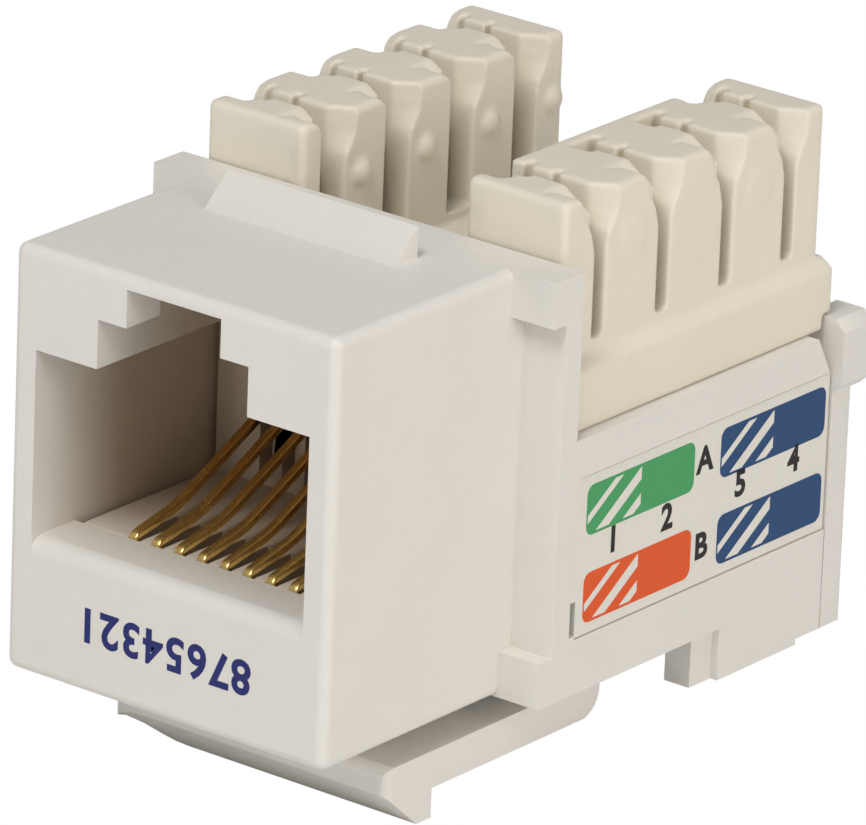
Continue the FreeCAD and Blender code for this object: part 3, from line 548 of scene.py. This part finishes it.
def slot_cuts(middle, front, back, top):
    """The left slit behind a slot, and the notch in front of it."""
    floor = top - CAP_DEPTH - 1
    return [((middle + LEFT_SLIT[0], back - OVERLAP, floor),
             (middle + LEFT_SLIT[1], back + SLIT_DEPTH, top + 1)),
            ((middle + NOTCH[0], front - NOTCH_DEPTH, floor),
             (middle + NOTCH[1], front + OVERLAP, top + 1))]


def slot_caps(middle, slot, front, back, top, closed):
    """What closes the well at the top, but for the right slit and the notch."""
    floor = top - CAP_DEPTH
    ahead, behind = slot - WELL_AHEAD, slot + WELL_BEHIND
    caps = [((middle + left, start, floor), (middle + right, behind, top))
            for left, right, start in ((LEFT_SLIT[1], RIGHT_SLIT[0], back),
                                       (*RIGHT_SLIT, back + SLIT_DEPTH),
                                       (RIGHT_SLIT[1], WELL_HALF, back))]
    inner = middle - (ROW_HALF if closed else WELL_HALF)
    ramp = middle + RAMP_START
    caps.append(((inner, ahead, floor), (ramp, front - NOTCH_DEPTH, top)))
    caps.append(((middle + NOTCH[1], front - NOTCH_DEPTH - OVERLAP, floor), (ramp, front, top)))
    reach = RAMP_END_RIGHT_ROW if middle > 0 else RAMP_END_LEFT_ROW
    caps.append(((ramp, ahead, floor), (middle + reach, front, top),
                 RAMP_SLOPE * (reach - RAMP_START)))
    return caps


def tower_boxes():
    """The boxes that are added to the tower tops, and those that are cut from them."""
    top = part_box("idc_block")[1].z / MM
    added, cuts, slots = [], [], []
    for number in range(1, 9):
        near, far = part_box(f"idc_blade_{number}")
        slot = (near.y + far.y) / 2 / MM
        slots.append(slot)
        middle = ROW_MIDDLE if near.x > 0 else -ROW_MIDDLE
        front, back = slot - SLOT_HALF, slot + SLOT_HALF
        closed = middle > 0 and number in CLOSED_SLOTS
        cuts.extend(slot_cuts(middle, front, back, top))
        added.extend(slot_caps(middle, slot, front, back, top, closed))
    inner = ROW_MIDDLE - ROW_HALF
    added.append(((inner, slots[0] + INNER_WALL_START, top - INNER_WALL_DEPTH),
                  (inner + INNER_WALL, slots[3] - INNER_WALL_END, top)))
    return added, cuts


def dress_nodes():
    """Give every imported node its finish, and rounded copies to the moulded and drawn ones."""
    for name, node in nodes.items():
        node.data.materials.clear()
        node.data.materials.append(FINISHES[finish_of(name)])
    for name, width in EDGE_WIDTHS.items():
        round_edges(name, width)
    for number in range(1, 9):
        round_edges(f"contact_{number}", CONTACT_EDGE)
    melt_edges("idc_block", MELT_GRID, MELT_PASSES, MELT_SHARE, *tower_boxes())


# The piece over the latch's hinge, in millimetres: its reach each way from the hinge, how far it
# stands out of the arm, and its rounded edges. It is cut this often along each side, so it can bend.
BEND_REACH = 0.9
BEND_PROUD = 0.012
BEND_EDGE = 0.1
BEND_CUTS = 9
BEND_ANGLE = 40.0


def bend_latch():
    """The living hinge between the latch arm and its root, which covers the gap and bends."""
    low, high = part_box("latch_arm")
    hinge = [joint for joint in frame["joints"] if joint["name"] == "latch_flex"][0]
    middle = Vector(hinge["pos_m"])
    reach = BEND_REACH * MM
    proud = BEND_PROUD * MM
    size = (high.x - low.x + 2 * proud, 2 * reach, 2 * (high.z - middle.z + proud))
    centre = Vector(((low.x + high.x) / 2, middle.y, middle.z))
    bpy.ops.mesh.primitive_cube_add(size=1, location=(0, 0, 0))
    piece = bpy.context.object
    piece.data.transform(Matrix.Translation(centre) @ Matrix.Diagonal((*size, 1)))
    bpy.ops.object.mode_set(mode="EDIT")
    bpy.ops.mesh.select_all(action="SELECT")
    bpy.ops.mesh.subdivide(number_cuts=BEND_CUTS)
    bpy.ops.object.mode_set(mode="OBJECT")
    apply_modifier(piece, "BEVEL", width=BEND_EDGE * MM, segments=2, limit_method="ANGLE",
                   angle_limit=math.radians(BEND_ANGLE))
    smooth(piece, BEND_ANGLE)
    settle(piece, "latch_bend", "white_plastic", None)
    along = Vector((0, reach, 0))
    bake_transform(piece, "latch", "jack", start=middle - along, end=middle + along)


# ---------------------------------------------------------------- print
# The wiring label's print, in millimetres right and down from its upper left corner. A stripe lies
# between two places along the bar's upper edge, and slants down to the left.
INK = 0.008
BAR_SIZE = (6.17, 1.87)
BAR_ROUND = 0.36
BARS = [("ink_green", 0.43, 0.38), ("ink_orange", 0.43, 3.64),
        ("ink_blue", 8.13, 0.40), ("ink_blue", 8.13, 3.66)]
STRIPE_SLOPE = 1.515
STRIPES = [(1.76, 2.22), (3.22, 3.94), (4.75, 5.35)]
STRIPE_FIELD = (0.07, 0.11, 3.08, 1.76)
MARKS = [("1", 2.02, 2.76), ("2", 5.12, 2.80), ("A", 7.22, 1.23),
         ("5", 9.38, 2.74), ("4", 12.52, 2.70), ("B", 7.24, 4.48)]
MARK_SIZE = 1.34
MARK_BOLD = 0.045

# The pin numbers, in millimetres: their size, their place along Z, and their spread as a share of
# the contacts' own.
PIN_SIZE = 1.75
PIN_LEVEL = 6.2
PIN_SPREAD = 0.96


def print_field(left, top, right, bottom, height):
    """A printed rectangle, left in edit mode with everything selected."""
    bpy.ops.mesh.primitive_plane_add(size=1, location=(0, 0, 0))
    piece = bpy.context.object
    centre = Vector(((left + right) / 2, -(top + bottom) / 2, height))
    piece.data.transform(Matrix.Translation(centre)
                         @ Matrix.Diagonal((right - left, bottom - top, 1, 1)))
    bpy.ops.object.mode_set(mode="EDIT")
    bpy.ops.mesh.select_all(action="SELECT")
    return piece


def raise_ink(piece):
    """Give a flat print its thickness and leave edit mode."""
    bpy.ops.mesh.extrude_region_move(TRANSFORM_OT_translate={"value": (0, 0, -INK)})
    bpy.ops.mesh.select_all(action="SELECT")
    bpy.ops.mesh.normals_make_consistent(inside=False)
    bpy.ops.object.mode_set(mode="OBJECT")
    return piece


def print_bar(left, top):
    """One colour bar with rounded corners."""
    piece = print_field(left, top, left + BAR_SIZE[0], top + BAR_SIZE[1], INK)
    bpy.ops.mesh.bevel(affect="VERTICES", offset=BAR_ROUND, segments=5)
    return raise_ink(piece)


def print_stripe(left, top, start, end):
    """One slanted stripe, cut from the bar's striped half."""
    near, high, far, low = STRIPE_FIELD
    piece = print_field(left + near, top + high, left + far, top + low, 2 * INK)
    across = Vector((1, -STRIPE_SLOPE, 0)).normalized()
    for edge, normal in ((start, -across), (end, across)):
        bpy.ops.mesh.select_all(action="SELECT")
        bpy.ops.mesh.bisect(plane_co=(left + edge, -top, 0), plane_no=normal, clear_outer=True)
    bpy.ops.mesh.select_all(action="SELECT")
    return raise_ink(piece)


def print_mark(character, across, down, size):
    """One character, its middle at the given place."""
    bpy.ops.object.text_add(location=(0, 0, 0))
    piece = bpy.context.object
    piece.data.body = character
    piece.data.size = size
    piece.data.offset = MARK_BOLD
    piece.data.extrude = INK / 2
    piece.data.resolution_u = 4
    bpy.ops.object.convert(target="MESH")
    piece = bpy.context.object
    corners = [Vector(corner) for corner in piece.bound_box]
    middle = (corners[0] + corners[6]) / 2
    offset = Vector((across, -down, INK / 2)) - Vector((middle.x, middle.y, 0))
    piece.data.transform(Matrix.Translation(offset))
    return piece


def print_label(side):
    """Colour bars with white stripes, and the wire numbers, on one wiring label."""
    low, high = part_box("label_" + side)
    if side == "right":
        turn, corner = 1, Vector((high.x, low.y, high.z))
    else:
        turn, corner = -1, Vector((low.x, high.y, high.z))
    place = Matrix(((0, 0, turn, 0), (turn, 0, 0, 0), (0, 1, 0, 0), (0, 0, 0, 1)))
    place = Matrix.Translation(corner) @ place @ Matrix.Scale(MM, 4)
    for ink in ("ink_green", "ink_orange", "ink_blue"):
        bars = [print_bar(left, top) for colour, left, top in BARS if colour == ink]
        settle(join(bars), f"label_{side}_{ink[4:]}_bars", ink, "jack", place)
    stripes = [print_stripe(left, top, *edges) for colour, left, top in BARS for edges in STRIPES]
    settle(join(stripes), f"label_{side}_stripes", "label_paper", "jack", place)
    marks = [print_mark(*mark, MARK_SIZE) for mark in MARKS]
    settle(join(marks), f"label_{side}_numbers", "ink_black", "jack", place)


def print_pin_numbers():
    """Pin numbers on the lip below the opening, upright when the latch is on top."""
    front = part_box("front_housing")[0].y
    marks = []
    for number in range(1, 9):
        near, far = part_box(f"contact_{number}")
        across = -PIN_SPREAD * (near.x + far.x) / 2 / MM
        marks.append(print_mark(str(number), across, 0, PIN_SIZE))
    place = Matrix(((-1, 0, 0, 0), (0, 0, -1, 0), (0, -1, 0, 0), (0, 0, 0, 1)))
    place = Matrix.Translation((0, front, PIN_LEVEL * MM)) @ place @ Matrix.Scale(MM, 4)
    settle(join(marks), "pin_numbers", "ink_pins", "jack", place)


# ---------------------------------------------------------------- camera, light and floor
def set_camera():
    """A long lens at the front right, above the jack."""
    azimuth = math.radians(37.57)
    elevation = math.radians(20.65)
    roll = math.radians(2.24)
    distance = 0.36223
    target = Vector((0.00199, -0.00193, 0.01219))
    back = Vector((math.sin(azimuth) * math.cos(elevation),
                   -math.cos(azimuth) * math.cos(elevation), math.sin(elevation)))
    level = Vector((math.cos(azimuth), math.sin(azimuth), 0))
    upright = back.cross(level)
    right = level * math.cos(roll) + upright * math.sin(roll)
    up = upright * math.cos(roll) - level * math.sin(roll)
    lens = bpy.data.cameras.new("camera")
    lens.lens = 433.0
    lens.sensor_width = 36.0
    lens.clip_start = 0.01
    camera = bpy.data.objects.new("camera", lens)
    bpy.context.collection.objects.link(camera)
    pose = Matrix((right, up, back)).transposed().to_4x4()
    pose.translation = target + back * distance
    camera.matrix_world = pose
    bpy.context.scene.camera = camera


def add_area(name, place, target, size, energy, colour):
    """A round soft lamp, turned towards its target."""
    data = bpy.data.lights.new(name, "AREA")
    data.shape = "DISK"
    data.size = size
    data.energy = energy
    data.color = colour
    lamp = bpy.data.objects.new(name, data)
    bpy.context.collection.objects.link(lamp)
    lamp.location = place
    lamp.rotation_euler = (Vector(target) - Vector(place)).to_track_quat("-Z", "Y").to_euler()


def set_light():
    """An even room, a key lamp above, a weak low one and a warm fill at the right."""
    world = bpy.data.worlds.new("studio")
    bpy.context.scene.world = world
    world.use_nodes = True
    background = world.node_tree.nodes["Background"]
    background.inputs["Color"].default_value = (1, 1, 1, 1)
    background.inputs["Strength"].default_value = 0.35
    add_area("key", place=(0.05, -0.20, 0.32), target=(0, 0, 0.01), size=0.16, energy=0.58,
             colour=(1.0, 0.985, 0.955))
    add_area("low", place=(-0.03, -0.24, 0.012), target=(0, 0, 0.006), size=0.02, energy=0.036,
             colour=(1.0, 0.97, 0.93))
    add_area("fill", place=(0.30, -0.05, 0.12), target=(0, 0, 0.01), size=0.2, energy=0.33,
             colour=(1.0, 0.93, 0.85))


def add_floor():
    """A pale floor that the camera sees as white."""
    bpy.ops.mesh.primitive_plane_add(size=2.0, location=(0, 0, cad_bounds[0][2]))
    floor = bpy.context.object
    floor.name = "floor"
    finish = Finish("studio_floor", (0.9, 0.9, 0.9), 0.9)
    light_path = finish.nodes.new("ShaderNodeLightPath")
    seen = Value(finish, light_path.outputs["Is Camera Ray"])
    glow = finish.nodes.new("ShaderNodeEmission")
    glow.inputs["Color"].default_value = (1, 1, 1, 1)
    mixer = finish.nodes.new("ShaderNodeMixShader")
    finish.fill(mixer.inputs[0], seen)
    finish.links.new(finish.shader.outputs[0], mixer.inputs[1])
    finish.links.new(glow.outputs[0], mixer.inputs[2])
    finish.links.new(mixer.outputs[0], finish.nodes["Material Output"].inputs["Surface"])
    floor.data.materials.append(finish.material)


bpy.context.scene.view_settings.view_transform = "Standard"
set_camera()
set_light()
add_floor()
dress_nodes()
bend_latch()
print_label("left")
print_label("right")
print_pin_numbers()
